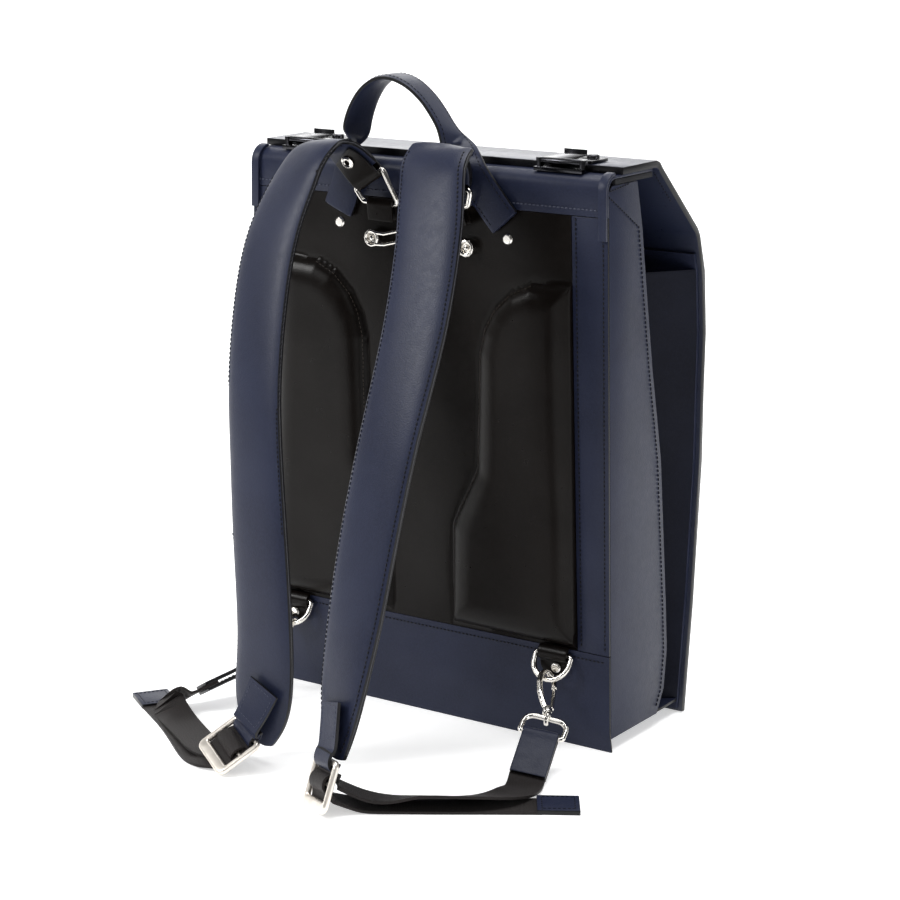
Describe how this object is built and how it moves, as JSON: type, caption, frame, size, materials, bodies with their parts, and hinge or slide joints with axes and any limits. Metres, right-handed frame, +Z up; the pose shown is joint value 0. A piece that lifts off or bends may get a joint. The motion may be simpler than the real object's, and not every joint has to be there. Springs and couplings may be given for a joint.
{
  "type": "structured leather randoseru backpack",
  "caption": "Board-stiff leather school backpack with a wrap-over flap, padded shoulder straps, a carry handle, top latches and snap-hooked webbing.",
  "frame": {"origin": "middle of the back wall's foot edge, on the floor", "axes": "+Z up, +X to the right as one looks at the back, +Y from the wearer's back towards the flap"},
  "size_m": [0.3542, 0.3132, 0.4144],
  "materials": {
    "navy_leather": "smooth navy cowhide, semi-gloss",
    "black_leather": "soft black leather with a fine grain",
    "black_webbing": "dense black-brown webbing with a satin face",
    "board": "dark stiffening board",
    "nickel": "polished nickel plate",
    "gunmetal": "dark polished plate"
  },
  "bodies": {
    "root": {"back_wall": "board", "top_cover": "navy_leather", "top_board": "board", "side_strip_right": "navy_leather", "side_strip_left": "navy_leather", "lower_band": "navy_leather", "back_pad": "black_leather", "bottom_panel": "navy_leather", "main_front": "navy_leather", "pocket_front": "navy_leather", "pocket_floor": "navy_leather", "flap": "navy_leather", "handle": "navy_leather", "hanger": "nickel", "gusset_left": "navy_leather", "gusset_right": "navy_leather", "pocket_gusset_left": "navy_leather", "pocket_gusset_right": "navy_leather", "corner_piping_left": "navy_leather", "corner_piping_right": "navy_leather", "latch_base_left": "gunmetal", "latch_base_right": "gunmetal", "latch_hasp_left": "gunmetal", "latch_hasp_right": "gunmetal", "handle_rivet_left": "nickel", "handle_rivet_right": "nickel", "ring_loop_left": "black_leather", "ring_loop_right": "black_leather", "strap_ring_left": "nickel", "strap_ring_right": "nickel", "strap_tab_left": "black_leather", "strap_tab_right": "black_leather", "eyelet_left": "nickel", "eyelet_right": "nickel", "shoulder_strap_left": "navy_leather", "shoulder_strap_right": "navy_leather", "strap_end_patch_left": "navy_leather", "strap_end_patch_right": "navy_leather", "slide_buckle_left": "nickel", "slide_buckle_right": "nickel", "webbing_left": "black_webbing", "webbing_right": "black_webbing", "webbing_tip_left": "navy_leather", "webbing_tip_right": "navy_leather", "webbing_tab_left": "navy_leather", "webbing_tab_right": "navy_leather", "d_ring_tab_left": "black_leather", "d_ring_tab_right": "black_leather", "d_ring_left": "nickel", "d_ring_right": "nickel", "d_ring_rivet_left": "nickel", "d_ring_rivet_right": "nickel", "snap_hook_left": "nickel", "snap_hook_right": "nickel", "hook_loop_left": "nickel", "hook_loop_right": "nickel"},
    "latch_lever_left": {"latch_lever_left": "gunmetal"},
    "latch_lever_right": {"latch_lever_right": "gunmetal"},
    "hook_gate_left": {"hook_gate_left": "nickel"},
    "hook_gate_right": {"hook_gate_right": "nickel"}
  },
  "joints": [
    {"name": "latch_lever_left_hinge", "type": "hinge", "parent": "root", "child": "latch_lever_left", "pos_m": [-0.0965, 0.0092, 0.3664], "axis": [1, 0, 0], "range_deg": [0, 90]},
    {"name": "latch_lever_right_hinge", "type": "hinge", "parent": "root", "child": "latch_lever_right", "pos_m": [0.0965, 0.0092, 0.3664], "axis": [1, 0, 0], "range_deg": [0, 90]},
    {"name": "hook_gate_left_hinge", "type": "hinge", "parent": "root", "child": "hook_gate_left", "pos_m": [-0.10743, -0.02823, 0.02942], "axis": [0.9353, 0, -0.3539], "range_deg": [0, 22], "stiffness_Nm_per_rad": 0.004},
    {"name": "hook_gate_right_hinge", "type": "hinge", "parent": "root", "child": "hook_gate_right", "pos_m": [0.11527, -0.0262, 0.03094], "axis": [0.6953, 0, 0.7187], "range_deg": [0, 22], "stiffness_Nm_per_rad": 0.004}
  ]
}
